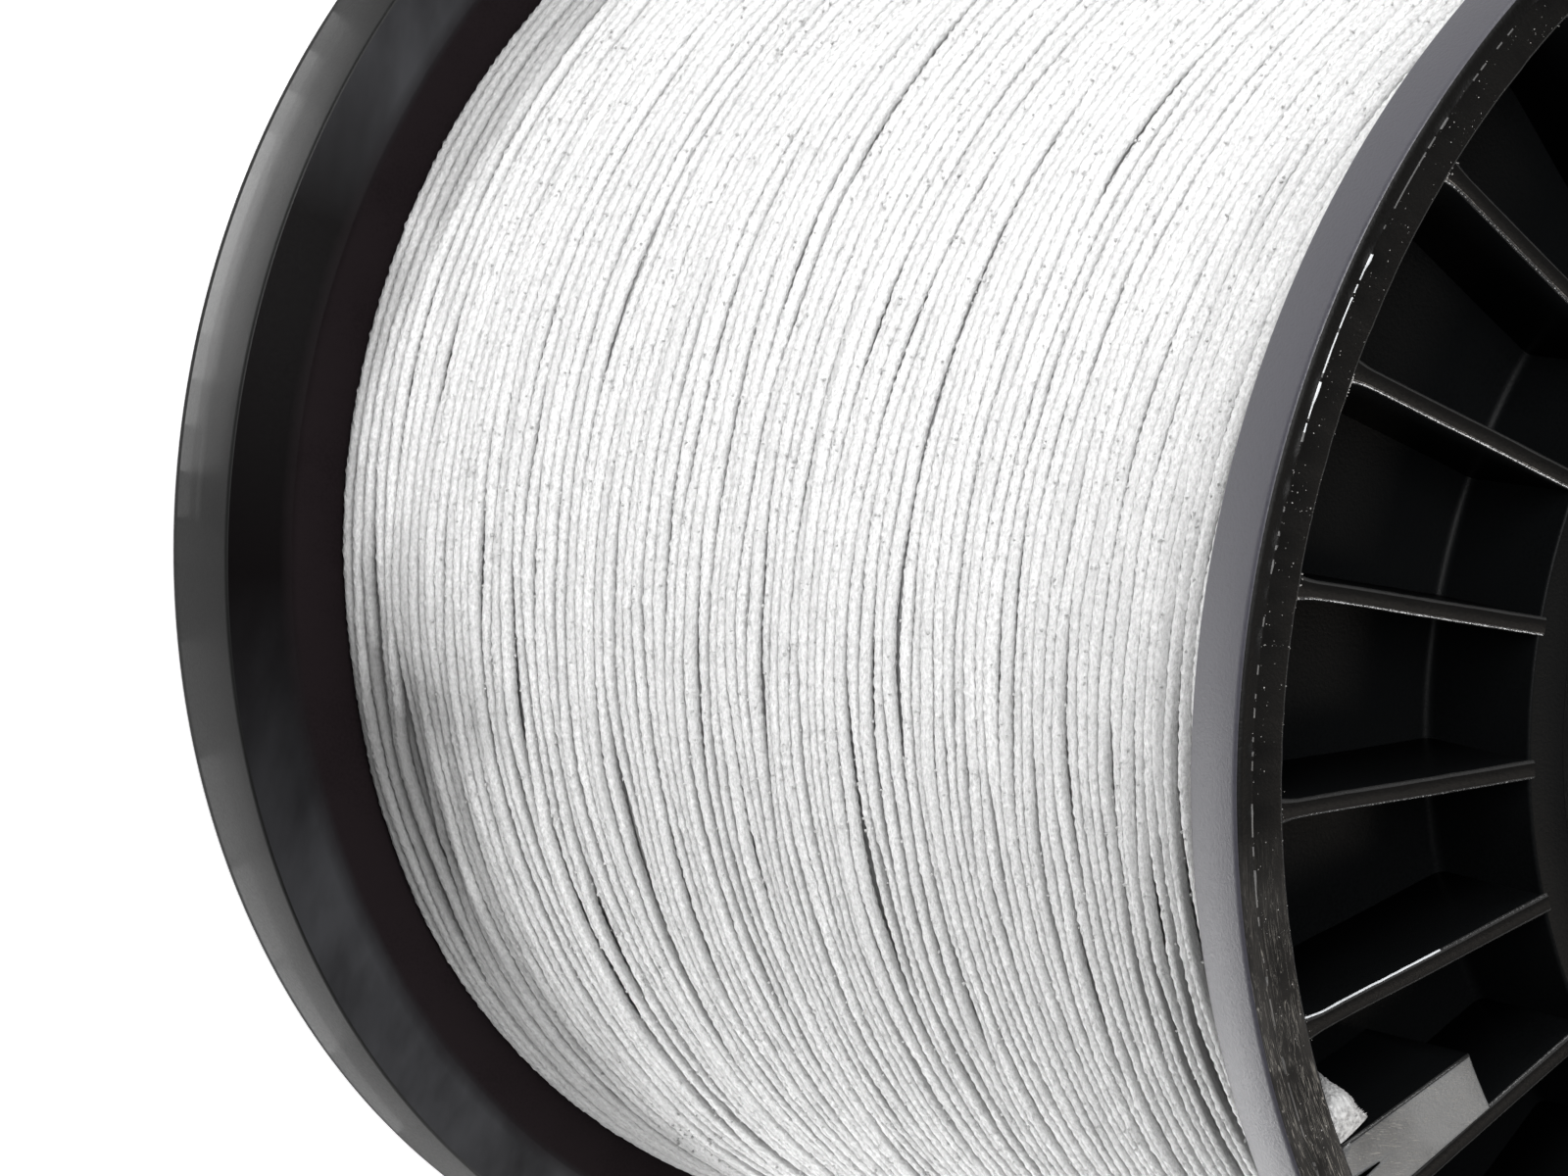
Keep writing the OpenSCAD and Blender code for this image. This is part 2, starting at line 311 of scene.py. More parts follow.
# ---------------------------------------------------------------- meshes
def piece(name, points, faces, materials, uv=None, which=None, smooth=True):
    """A mesh object from points in mm and faces of three or four corners, riding on the reel."""
    data = bpy.data.meshes.new(name)
    points = np.asarray(points, np.float32) * MM
    corners = np.concatenate([np.asarray(f, np.int32).ravel() for f in faces])
    totals = np.concatenate([np.full(len(f), len(f[0]), np.int32) for f in faces])
    data.vertices.add(len(points))
    data.vertices.foreach_set("co", points.ravel())
    data.loops.add(len(corners))
    data.loops.foreach_set("vertex_index", corners)
    data.polygons.add(len(totals))
    data.polygons.foreach_set("loop_start", np.concatenate([[0], np.cumsum(totals)[:-1]]).astype(np.int32))
    data.polygons.foreach_set("loop_total", totals)
    data.polygons.foreach_set("use_smooth", np.full(len(totals), smooth))
    for material in materials:
        data.materials.append(material)
    if which is not None:
        data.polygons.foreach_set("material_index", np.asarray(which, np.int32))
    if uv is not None:
        layer = data.uv_layers.new(name="UVMap")
        layer.data.foreach_set("uv", np.asarray(uv, np.float32)[corners].ravel())
    data.update(calc_edges=True)
    data.validate()
    thing = bpy.data.objects.new(name, data)
    bpy.context.scene.collection.objects.link(thing)
    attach(thing, "root")
    return thing


def grid_faces(rows, columns, closed_columns):
    """Quads of a grid of points, with its last column joined to the first where closed."""
    i = np.arange(rows - 1)[:, None]
    k = np.arange(columns if closed_columns else columns - 1)[None, :]
    nxt = (k + 1) % columns
    a, b = i * columns + k, i * columns + nxt
    return np.stack([a, b, b + columns, a + columns], -1).reshape(-1, 4)


def smooth_noise(rng, count, reach):
    """Seeded noise of spread 1, smooth over about reach samples; its ends meet."""
    wave = np.fft.rfft(rng.standard_normal(count))
    f = np.fft.rfftfreq(count)
    noise = np.fft.irfft(wave * np.exp(-2 * (np.pi * f * reach) ** 2), count)
    return noise / noise.std()


def shared(noise, turn, spread):
    """The same noise shared among neighbouring turns, over about spread of them."""
    reach = max(1, int(3 * spread))
    steps = np.arange(-reach, reach + 1)
    weights = np.exp(-0.5 * (steps / spread) ** 2)
    total = sum(w * np.roll(noise, int(s) * turn) for w, s in zip(weights, steps))
    return total / total.std()


# ---------------------------------------------------------------- winding
# A soft strand pressed among its neighbours: flat outside, steep flanks. Each point is
# (share of the half width along the reel, share of the half height outward).
SECTION = np.array(
    [
        (1.0, -0.2), (0.88, 0.55), (0.45, 0.9), (0.0, 1.0),
        (-0.45, 0.9), (-0.88, 0.55), (-1.0, -0.2), (0.0, -0.9),
    ]
)
STRAND_WIDTH = 0.87
# The layer starts at the back, fills this many pitches, and ends at the slot, where the string
# rises. Near the webs its turns step to the next place over the last share of each turn.
BACK_A = -177.0
END_A = 0.5 * (SLOT_ARC[0] + SLOT_ARC[1])
RISE_A = 33.55
PITCHES = 82
STEP_SHARE = 0.3
LEAST_PITCH = 0.58
MEAN_PITCH = 0.73
# Where turns part: from angle, to angle, how many places, least and most reach in mm
PARTINGS = [(-180, 180, 320, 0.02, 0.11), (18, 90, 260, 0.05, 0.12)]
# A bare streak and sunk turns near the far flange: middle and half arc, height, size and width.
BARE = {"middle": 26, "half": 13, "height": 9.9, "reach": 0.5, "width": 0.35}
SUNK = {"middle": 29, "half": 18, "height": 8.6, "depth": 0.36, "width": 1.9}


def bell(x, middle, width):
    """1 at the middle, falling off to both sides."""
    return np.exp(-0.5 * ((x - middle) / width) ** 2)


def steps_up(turn):
    """Whole turns that stay level at the front and step to the next place at the back."""
    whole = np.floor(turn)
    rise = np.clip((turn - whole - 1 + STEP_SHARE) / STEP_SHARE, 0, 1)
    return whole + rise * rise * (3 - 2 * rise)


def lay(seed, per_turn, turns, wander):
    """Height of every ring of one layer, in which soft strands wander, but hug the webs at the ends."""
    rng = np.random.default_rng(seed)
    count = int(turns * per_turn) + 1
    step = 2 * math.pi * WIND_R / per_turn
    turn = np.arange(count) / per_turn
    near_end = bell(turn, 0, 3) + bell(turn, turns, 3)
    place = np.clip(turn - 0.5, 0, PITCHES) * (1 - near_end) + np.clip(steps_up(turn), 0, PITCHES) * near_end
    low, high = WIND_LO + STRING_D / 2, WIND_HI - STRING_D / 2
    z = low + (high - low) * place / PITCHES
    loose = np.clip(np.minimum(z - low, high - z) / 3, 0, 1)
    for size, reach, spread in wander:
        noise = smooth_noise(rng, count, reach / step)
        z += size * loose * (shared(noise, per_turn, spread) if spread else noise)
    return rng, z, low, high, step


def settle(z, per_turn, least, low, high, rounds=80):
    """Pushes neighbouring turns apart until none lies closer than least."""
    for _ in range(rounds):
        push = 0.5 * np.clip(least - (z[per_turn:] - z[:-per_turn]), 0, None)
        z[per_turn:] += push
        z[:-per_turn] -= push
        np.clip(z, low, high, out=z)
    return z


def strand(name, angle, radius, z, braid, rng, bands, mm_per_ring, materials, width=STRAND_WIDTH):
    """A tube of soft braid along rings, cut into bands of rings that share their end rings."""
    count, sides = len(z), len(SECTION)
    across, outward = SECTION.T
    parity = (np.arange(count)[:, None] + np.arange(sides)[None, :]) % 2 * 2 - 1
    swell = 1 + 0.04 * smooth_noise(rng, count, 3 / mm_per_ring)[:, None]
    uneven = 1 + braid * parity + 0.6 * braid * rng.standard_normal((count, sides))
    girth = STRING_D / 2 * swell * uneven
    out = radius[:, None] + girth * outward
    up = z[:, None] + np.reshape(width, (-1, 1)) * girth * across
    points = np.stack([out * np.cos(angle)[:, None], out * np.sin(angle)[:, None], up], -1)
    girdle = np.concatenate([[0], np.cumsum(np.hypot(*np.diff(SECTION, axis=0).T))]) * STRING_D / 2
    along = np.arange(count) * mm_per_ring
    uv = np.stack(np.broadcast_arrays(along[:, None], girdle[None, :]), -1)
    made = []
    edges = np.linspace(0, count - 1, bands + 1).astype(int)
    for n, (a, b) in enumerate(zip(edges[:-1], edges[1:])):
        rings = slice(a, b + 1)
        caps = [np.arange(sides)[None, ::-1]] if n == 0 else []
        if n == bands - 1:
            caps.append(((b - a) * sides + np.arange(sides))[None, :])
        made.append(
            piece(
                f"{name}_{n + 1}",
                points[rings].reshape(-1, 3),
                [grid_faces(b - a + 1, sides, True)[:, ::-1], *caps],
                materials,
                uv=uv[rings].reshape(-1, 2),
            )
        )
    return made, points


def part_turns(z, theta, middle, half, height, reach, width):
    """How far turns move apart about one height, over half degrees to both sides of middle."""
    here = np.clip(1 - np.abs(theta - middle) / half, 0, 1)
    return reach * here * here * (3 - 2 * here) * np.tanh((z - height) / width) * bell(z, height, 5 * width)


def top_layer():
    """The outer layer: one strand in many turns, with partings, sunk turns and its climb from below."""
    per_turn = 812
    turns = PITCHES + (END_A - BACK_A) / 360
    wander = [(0.2, 12, 2.5), (0.10, 5, 0.8), (0.075, 2.2, 0), (0.025, 0.8, 0)]
    rng, z, low, high, step = lay(5, per_turn, turns, wander)
    angle = np.radians(BACK_A) + 2 * math.pi * np.arange(len(z)) / per_turn
    theta = (np.degrees(angle) + 180) % 360 - 180
    for first, last, count, least, most in PARTINGS:
        for _ in range(count):
            middle, half = rng.uniform(first, last), rng.uniform(6, 25)
            height, reach = rng.uniform(low + 3, high - 1), rng.uniform(least, most)
            z += part_turns(z, theta, middle, half, height, reach, 0.3)
    # most at the lower front, turns lie unevenly spaced and at uneven depths
    lower = np.clip((theta - 4) / 22, 0, 1) * np.clip((130 - theta) / 40, 0, 1)
    turn = steps_up(np.arange(len(z)) / per_turn)
    aside, depths = (rng.uniform(a, b, PITCHES + 4) for a, b in ((-0.13, 0.13), (0.0, 0.18)))
    z += (0.4 + 0.6 * lower) * np.interp(turn, np.arange(PITCHES + 4), aside)
    # a bare streak near the far flange, where turns lie apart over the layer below
    z += part_turns(z, theta, **BARE)
    z = settle(z, per_turn, LEAST_PITCH, low, high)
    # the last turn leaves at the slot, where the one before it eases over to the web
    ease = np.hanning(25) / np.hanning(25).sum()
    last = slice(-3 * per_turn, None)
    z[last] = np.convolve(np.pad(z[last], 12, "edge"), ease, "valid")
    crowd = np.zeros_like(z)
    room = np.clip((z[per_turn:] - z[:-per_turn]) - MEAN_PITCH, -0.15, 0.3)
    crowd[per_turn:] += room
    crowd[:-per_turn] += room
    radius = WIND_R - STRING_D / 2 - 0.06 - 0.12 * crowd
    radius += 0.05 * shared(smooth_noise(rng, len(z), 14 / step), per_turn, 6)
    radius += 0.045 * smooth_noise(rng, len(z), 4 / step)
    sunk = np.clip(1 - np.abs(theta - SUNK["middle"]) / SUNK["half"], 0, 1)
    sunk = np.minimum(1, 1.5 * sunk) * bell(z, SUNK["height"], SUNK["width"])
    proud = np.arange(len(z)) // per_turn % 3 == 1
    radius -= SUNK["depth"] * sunk * np.where(proud, 0.2, 1.0)
    radius -= (0.15 + 0.85 * lower) * np.interp(turn, np.arange(PITCHES + 4), depths)
    # the first turn climbs out of the layer below
    climb = np.clip(1 - np.arange(len(z)) * step / 16, 0, 1)
    radius -= (STRING_D - 0.08) * climb * climb * (3 - 2 * climb)
    # turns lie stretched thin, with dark gaps, at the lower front beside the near flange
    thin = np.clip((z - 54) / 8, 0, 1) * np.clip(1 - np.abs(theta - 42) / 30, 0, 1)
    width = STRAND_WIDTH * (1 - 0.08 * lower - 0.12 * np.minimum(1, 1.6 * thin))
    made, points = strand("string_winding", angle, radius, z, 0.09, rng, 6, step, [STRING], width)
    return made, points, rng


def under_layer():
    """The next layer down, wound the other way, which shows where turns part; its darker braid is painted
    shade.
    """
    per_turn = 140
    rng, z, low, high, step = lay(11, per_turn, PITCHES + 0.5, [(0.1, 9, 2.5), (0.05, 4, 0)])
    z = settle(z, per_turn, 0.66, low, high)
    angle = np.radians(BACK_A) - 2 * math.pi * np.arange(len(z)) / per_turn
    radius = np.full(len(z), WIND_R - 0.06 - 1.5 * STRING_D + 0.08)
    return strand("string_under", angle, radius, z, 0.03, rng, 1, step, [SHADED])[0]


def knots(name, middles, size, material, rng):
    """Small uneven grains round the given places, each an eight-sided lump."""
    count = len(middles)
    shape = np.array([(1, 0, 0), (-1, 0, 0), (0, 1, 0), (0, -1, 0), (0, 0, 1), (0, 0, -1)], float)
    reach = rng.uniform(*size, (count, 1, 1)) * rng.uniform(0.6, 1.5, (count, 6, 1))
    points = middles[:, None, :] + shape * reach
    cell = np.array([(0, 2, 4), (2, 1, 4), (1, 3, 4), (3, 0, 4), (2, 0, 5), (1, 2, 5), (3, 1, 5), (0, 3, 5)])
    faces = (np.arange(count)[:, None, None] * 6 + cell).reshape(-1, 3)
    uv = rng.uniform(0, 400, (count * 6, 2))
    return piece(name, points.reshape(-1, 3), [faces], [material], uv=uv)


def fuzz(points, rng, count=9000):
    """Ends of broken filaments that stand on the strands as small bright knots."""
    rings = rng.integers(40, len(points) - 40, count)
    middles = points[rings, rng.integers(1, 5, count)] * (1.003, 1.003, 1)
    middles = middles[middles[:, 2] > 12]
    return knots("string_fuzz", middles, (0.045, 0.09), FUZZ, rng)


def ring_specks():
    """Dust on the near end ring, beads of flash on its edges and parting line, and a broken weld line."""
    rng = np.random.default_rng(21)
    clumps = smooth_noise(rng, 3600, 12)

    def along(count, radius, spread, depth, bare, first=0, last=360):
        a = np.radians(rng.uniform(first, last, count)) % (2 * np.pi)
        a = a[clumps[(a / (2 * np.pi) * 3600).astype(int)] > bare]
        return a, radius + rng.normal(0, spread, len(a)), rng.uniform(*depth, len(a))

    at_roots, on_weld, dust = 150, 16, 2600
    roots = 2 * np.pi / RIB_COUNT * rng.integers(0, RIB_COUNT, at_roots) + rng.normal(0, 0.012, at_roots)
    sets = [
        # Beads of flash on the parting line and the inner edge; their light grey is partly a painted
        # highlight, the broken light lines along both.
        along(2600, PARTING_R, 0.03, (0.0, 0.02), -0.2),
        along(1500, RING_IN_R, 0.03, (0.0, 0.12), 0.1),
        # These two sets crowd the beads into one arc: a painted glint on the parting line and the inner edge.
        along(1300, PARTING_R, 0.02, (0.0, 0.01), -0.5, -24, -9),
        along(260, RING_IN_R, 0.02, (0.0, 0.03), -0.5, -19, -12),
        (roots, RING_IN_R - np.abs(rng.normal(0.05, 0.12, at_roots)), rng.uniform(0.02, 0.2, at_roots)),
    ]
    weld = np.full(on_weld, math.radians(WELD_A)) + rng.normal(0, 0.0007, on_weld)
    sets.append((weld, rng.uniform(RING_IN_R, PARTING_R, on_weld), np.zeros(on_weld)))
    sets.append((rng.uniform(0, 2 * np.pi, dust), rng.uniform(RING_IN_R, PARTING_R, dust), np.zeros(dust)))
    a, r, depth = (np.concatenate(column) for column in zip(*sets))
    middles = np.stack([r * np.cos(a), r * np.sin(a), REEL_W - depth - 0.02], -1)
    return knots("ring_specks", middles, (0.013, 0.045), SPECK, rng)


def free_end():
    """The string's parked end: up from the last turn, through the slot, pressed flat beside the pad."""
    # radius, angle, depth below the near end face, half width and half thickness
    stations = np.array([
        (32.24, END_A - 5.0, 7.85, 0.35, 0.35),
        (32.24, END_A - 2.6, 7.85, 0.35, 0.35),
        (32.5, END_A - 0.9, 7.6, 0.35, 0.35),
        (32.85, END_A + 0.4, 6.8, 0.35, 0.35),
        (32.95, RISE_A - 0.3, 5.4, 0.35, 0.35),
        (33.1, RISE_A, 3.9, 0.3, 0.4),
        (33.6, RISE_A, 2.5, 0.22, 0.4),
        (34.05, RISE_A, 1.4, 0.42, 0.34),
        (34.3, RISE_A + 0.1, 0.75, 0.56, 0.27),
        (34.42, RISE_A + 0.6, 0.46, 0.66, 0.22),
        (34.42, RISE_A + 1.35, 0.4, 0.78, 0.18),
        (34.34, RISE_A + 2.15, 0.38, 0.92, 0.16),
    ])
    keys = np.arange(len(stations))
    t = np.linspace(0, len(stations) - 1, 140)
    ease = np.hanning(13) / np.hanning(13).sum()
    spread = lambda column: np.convolve(np.pad(np.interp(t, keys, column), 6, "edge"), ease, "valid")
    r, a, depth, wide, thick = (spread(column) for column in stations.T)
    a = np.radians(a)
    line = np.stack([r * np.cos(a), r * np.sin(a), REEL_W - depth], -1)
    along = np.gradient(line, axis=0)
    along /= np.linalg.norm(along, axis=1, keepdims=True)
    outward = np.stack([np.cos(a), np.sin(a), 0 * a], -1)
    outward -= (outward * along).sum(1, keepdims=True) * along
    outward /= np.linalg.norm(outward, axis=1, keepdims=True)
    side = np.cross(along, outward)
    sides = 16
    q = 2 * np.pi * np.arange(sides) / sides
    rng = np.random.default_rng(8)
    parity = (np.arange(len(t))[:, None] + np.arange(sides)) % 2 * 2 - 1
    rough = (1 + 0.04 * parity + 0.04 * rng.standard_normal((len(t), sides)))[..., None]
    ring = outward[:, None] * (wide[:, None] * np.cos(q))[..., None]
    ring = ring + side[:, None] * (thick[:, None] * np.sin(q))[..., None]
    points = line[:, None] + ring * rough
    length = np.concatenate([[0], np.cumsum(np.linalg.norm(np.diff(line, axis=0), axis=1))])
    uv = np.stack(np.broadcast_arrays(length[:, None], q * STRING_D / 2), -1)
    caps = [np.arange(sides)[None, ::-1], ((len(t) - 1) * sides + np.arange(sides))[None, :]]
    made = piece(
        "string_parked_end",
        points.reshape(-1, 3),
        [grid_faces(len(t), sides, True), *caps],
        [PARKED],
        uv=uv.reshape(-1, 2),
    )
    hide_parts("string_free_end")


def lathe(profile, segments, shift=0.0):
    """Points, quads and UV of a profile of (radius, height) turned round the reel's axis."""
    r, z = np.array(profile).T
    a = 2 * np.pi * np.arange(segments + 1) / segments
    r = r + np.zeros((segments + 1, 1))
    z = z + np.zeros((segments + 1, 1)) + shift
    points = np.stack([r * np.cos(a)[:, None], r * np.sin(a)[:, None], z], -1).reshape(-1, 3)
    length = np.concatenate([[0], np.cumsum(np.hypot(np.diff(r[0]), np.diff(z[0])))])
    uv = np.stack(np.broadcast_arrays((a * FLANGE_R)[:, None], length[None, :]), -1).reshape(-1, 2)
    return points, grid_faces(segments + 1, r.shape[1], False), uv


def rounded(corners, steps=4):
    """A polygon's points with each corner of (r, z, radius) rounded by an arc of that radius."""
    points = []
    n = len(corners)
    for i, (r, z, radius) in enumerate(corners):
        here = np.array([r, z])
        before = np.array(corners[i - 1][:2]) - here
        after = np.array(corners[(i + 1) % n][:2]) - here
        if radius <= 0:
            points.append(tuple(here))
            continue
        u, v = before / np.linalg.norm(before), after / np.linalg.norm(after)
        half = 0.5 * math.acos(float(np.clip(u @ v, -1, 1)))
        back = min(radius / math.tan(half), 0.45 * np.linalg.norm(before), 0.45 * np.linalg.norm(after))
        radius = back * math.tan(half)
        centre = here + (u + v) / np.linalg.norm(u + v) * radius / math.sin(half)
        s, e = here + u * back - centre, here + v * back - centre
        turn = math.atan2(s[0] * e[1] - s[1] * e[0], s @ e)
        for k in range(steps + 1):
            c, d = math.cos(turn * k / steps), math.sin(turn * k / steps)
            points.append(tuple(centre + [s[0] * c - s[1] * d, s[0] * d + s[1] * c]))
    return points


# Places in a flange's list of materials
RIM, TOP, HOLLOW, WITHIN, EDGE, PAD, LINE, PAINTED_GLINT = range(8)
SEGMENTS = 1280
# The rib with a painted glint along one edge
GLINT_RIB = 2


def turned_body(sizes, slotted, rng):
    """Profile, quads and material kinds of a flange's turned body, at depths below its end face."""
    rim_w, cone_w = sizes["rim_w"], sizes["cone_w"]
    pocket, web_in = sizes["pocket"], sizes["web_in"]
    corners = [
        (BORE_R, COLLAR_STEP, 0.15),
        (SPIGOT_R, COLLAR_STEP, 0.15),
        (SPIGOT_R, pocket, 0.4),
        (wall_r(pocket), pocket, 0.5),
        (RING_IN_R, 0.0, 0.12),
        (PARTING_R - PARTING_HALF, 0.0, 0.0),
        (PARTING_R, -0.02, 0.0),
        (PARTING_R + PARTING_HALF, 0.0, 0.0),
        (FLANGE_R, 0.0, CORNER_R),
        (FLANGE_R, rim_w, 0.2),
        (FLANGE_R - cone_w, web_in, 0.25),
        (SPIGOT_R, web_in, 0.2),
        (SPIGOT_R, web_in + SPIGOT_LEN, 0.15),
        (BORE_R, web_in + SPIGOT_LEN, 0.15),
    ]
    if slotted:
        cone_y = lambda r: web_in - (r - FLANGE_R + cone_w) * (web_in - rim_w) / cone_w
        corners[4:4] = [(r, wall_y(r), 0.0) for r in SLOT_R]
        corners[12:12] = [(SLOT_R[1], cone_y(SLOT_R[1]), 0.0)]
        corners[14:14] = [(SLOT_R[0], web_in, 0.0)]
    profile = rounded(corners)
    profile.append(profile[0])
    r, y = np.array(profile).T
    middle_r, middle_y = (r[1:] + r[:-1]) / 2, (y[1:] + y[:-1]) / 2
    kinds = np.select(
        [
            (middle_r > FLANGE_R - 0.12) & (middle_y > 0.1),
            (middle_y < 0.1) & (middle_r < RING_IN_R + 0.06) & (middle_r > RING_IN_R - 0.2),
            (middle_y < 0.1) & (np.abs(middle_r - PARTING_R) < 0.03),
            (middle_y < 0.1) & (middle_r > RING_IN_R),
            (middle_r > SPIGOT_R) & (middle_y > rim_w - 0.1) & (middle_y > pocket + 0.2),
        ],
        [RIM, EDGE, LINE, TOP, WITHIN],
        HOLLOW,
    )
    # the parting line and the ring's inner edge are uneven, as flash leaves them
    shift = np.zeros((SEGMENTS + 1, len(r)))
    parting = np.abs(r - PARTING_R) < 0.01
    inner_edge = (np.abs(r - RING_IN_R) < 0.09) & (y < 0.06)
    for at, size in ((parting, 0.06 if slotted else 0.015), (inner_edge, 0.02)):
        noise = np.clip(smooth_noise(rng, SEGMENTS, 1.3), 0, 2)
        shift[:, at] -= size * np.append(noise, noise[0])[:, None]
    return r, y, kinds, shift, middle_r


def wall_r(depth):
    """Radius of the hollow's sloped outer wall at a depth below the end face."""
    return RING_IN_R - depth * WALL_SLOPE


def wall_y(radius):
    """Depth of the same wall at a radius."""
    return (RING_IN_R - radius) / WALL_SLOPE


def slot_walls(first, last, web_in):
    """The four sides of the slot through the web, between two angles of the body's columns."""
    a = np.linspace(first, last, 12)
    parts = []
    inner_top, outer_top = wall_y(SLOT_R[0]), wall_y(SLOT_R[1])
    outer_low = web_in - 0.23
    for radius, top, low in ((SLOT_R[0], inner_top, web_in), (SLOT_R[1], outer_top, outer_low)):
        ring = [(radius * np.cos(a), radius * np.sin(a), np.full(12, d)) for d in (top, low)]
        quads = grid_faces(2, 12, False)
        parts.append((np.concatenate([np.stack(x, -1) for x in ring]), quads))
    for angle in (first, last):
        c, s = math.cos(angle), math.sin(angle)
        outline = zip((*SLOT_R, *SLOT_R[::-1]), (inner_top, outer_top, outer_low, web_in))
        parts.append((np.array([(k * c, k * s, d) for k, d in outline]), np.array([[0, 1, 2, 3]])))
    return parts


def rib(n, pocket, lean, rng):
    """One radial rib of a flange's hollow, thicker where it meets the ring, with worn edges."""
    half = RIB_T / 2
    flank = [
        (half + 0.12, pocket + 0.3), (half, 1.2), (half, RIB_STEP + 0.14), (half - 0.04, RIB_STEP + 0.05),
        (half - 0.12, RIB_STEP),
    ]
    section = flank + [(0.0, RIB_STEP - 0.01)] + [(-t, y) for t, y in flank[::-1]]
    kinds = [HOLLOW, HOLLOW, EDGE, EDGE, TOP, TOP, EDGE, EDGE, HOLLOW, HOLLOW, HOLLOW]
    c, s = math.cos(2 * math.pi * n / RIB_COUNT), math.sin(2 * math.pi * n / RIB_COUNT)
    stations = 28
    points, uv = [], []
    bow = smooth_noise(rng, 64, 4)[:stations] * 0.012
    for j in range(stations):
        f = (j / (stations - 1)) ** 0.75
        for t, y in section:
            end = wall_r(y) + 0.2
            r = SPIGOT_R - 0.2 + (end - SPIGOT_R + 0.2) * f
            near_end = max(0.0, 1 - (end - r) / 1.3)
            t = t * (1 + 0.45 * near_end ** 2) + lean * (r - 30) / 8 + bow[j] + rng.normal(0, 0.004)
            points.append((r * c - t * s, r * s + t * c, y + rng.normal(0, 0.004)))
            uv.append((r + 60 * n + 250, t + y))
    quads = grid_faces(stations, len(section), True)
    kinds = np.tile(kinds, (stations - 1, 1))
    # A painted glint along this rib's edge, over its outer two thirds.
    if n == GLINT_RIB:
        kinds[stations // 3 :, 7] = PAINTED_GLINT
    return np.array(points), quads, np.array(uv), kinds.ravel()


def pad(pocket):
    """The solid pad in one pocket, level with the ring, between the parked end and a rib."""
    first, last = (math.radians(x) for x in PAD_ARC)
    last -= RIB_T / 2 / RING_IN_R
    side = np.linspace(0, 1, 10)[:-1]
    levels = [(pocket + 0.2, 0.0), (0.2, 0.0), (0.09, 0.03), (0.04, 0.1), (0.03, 0.2), (0.03, 0.9)]
    points = []
    for depth, inset in levels:
        inner, outer = PAD_IN_R + inset, wall_r(depth) + 0.2
        a0, a1 = first + inset / RING_IN_R, last - inset / RING_IN_R
        outline = (
            [(inner + (outer - inner) * k, a0) for k in side]
            + [(outer, a0 + (a1 - a0) * k) for k in side]
            + [(outer - (outer - inner) * k, a1) for k in side]
            + [(inner, a1 - (a1 - a0) * k) for k in side]
        )
        points += [(r * math.cos(a), r * math.sin(a), depth) for r, a in outline]
    n = len(outline)
    quads = grid_faces(len(levels), n, True)[:, ::-1]
    points.append(tuple(np.mean(points[-n:], axis=0)))
    ring = (len(levels) - 1) * n + np.arange(n)
    fan = np.stack([np.roll(ring, -1), ring, np.full(n, len(points) - 1)], -1)
    return np.array(points), quads, fan


def flange(name, node, sizes, to_z, flip, materials, slotted=False):
    """One flange moulding: turned body with rounded edges, ribs and, where slotted, the slot and the pad."""
    rng = np.random.default_rng(3 + flip)
    pocket, web_in = sizes["pocket"], sizes["web_in"]
    r, y, kinds, shift, middle_r = turned_body(sizes, slotted, rng)
    points, quads, uv = lathe(list(zip(r, y)), SEGMENTS, shift)
    which = np.tile(kinds, (SEGMENTS, 1))
    which[np.ix_(smooth_noise(rng, SEGMENTS, 0.7) < 0.1, kinds == LINE)] = TOP
    if slotted:
        # Painted glint: in one arc the parting line turns near white, in broken stretches.
        a = (np.arange(SEGMENTS) * 360 / SEGMENTS + 180) % 360 - 180
        glint = (a > PAINTED_GLINT_ARC[0]) & (a < PAINTED_GLINT_ARC[1]) & (smooth_noise(rng, SEGMENTS, 0.5) > -0.6)
        which[np.ix_(glint, kinds == LINE)] = PAINTED_GLINT
    which = which.ravel()
    parts, fans = [], []
    if slotted:
        columns = (np.arange(SEGMENTS) + 0.5) * 360 / SEGMENTS
        hit = np.flatnonzero((columns > SLOT_ARC[0]) & (columns < SLOT_ARC[1]))
        across = (middle_r > SLOT_R[0]) & (middle_r < SLOT_R[1])
        open_quad = np.zeros((SEGMENTS, len(kinds)), bool)
        open_quad[np.ix_(hit, np.flatnonzero(across))] = True
        quads, which = quads[~open_quad.ravel()], which[~open_quad.ravel()]
        first, last = (2 * math.pi * k / SEGMENTS for k in (hit[0], hit[-1] + 1))
        for p, q in slot_walls(first, last, web_in):
            parts.append((p, q, p[:, [0, 2]], np.full(len(q), HOLLOW)))
        p, q, fan = pad(pocket)
        fans = [fan + len(points) + sum(len(part[0]) for part in parts)]
        levels = np.repeat([HOLLOW, EDGE, EDGE, PAD, PAD], len(fan))
        parts.append((p, q, p[:, :2], levels))
    for n in range(RIB_COUNT):
        parts.append(rib(n, pocket, rng.normal(0, 0.05), rng))
    all_points, all_quads, all_uv, all_which = [points], [quads], [uv], [which]
    base = len(points)
    for p, q, u, k in parts:
        all_points.append(p)
        all_quads.append(q + base)
        all_uv.append(u)
        all_which.append(k)
        base += len(p)
    all_points = np.concatenate(all_points)
    all_points[:, 2] = to_z(all_points[:, 2])
    faces = [np.concatenate(all_quads), *fans]
    if flip:
        faces = [f[:, ::-1] for f in faces]
    which = np.concatenate(all_which + [np.full(len(fan), PAD) for fan in fans])
    body = piece(name, all_points, faces, materials, uv=np.concatenate(all_uv), which=which)
    weld = body.modifiers.new("weld", "WELD")
    weld.merge_threshold = 1e-6
    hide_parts(node)


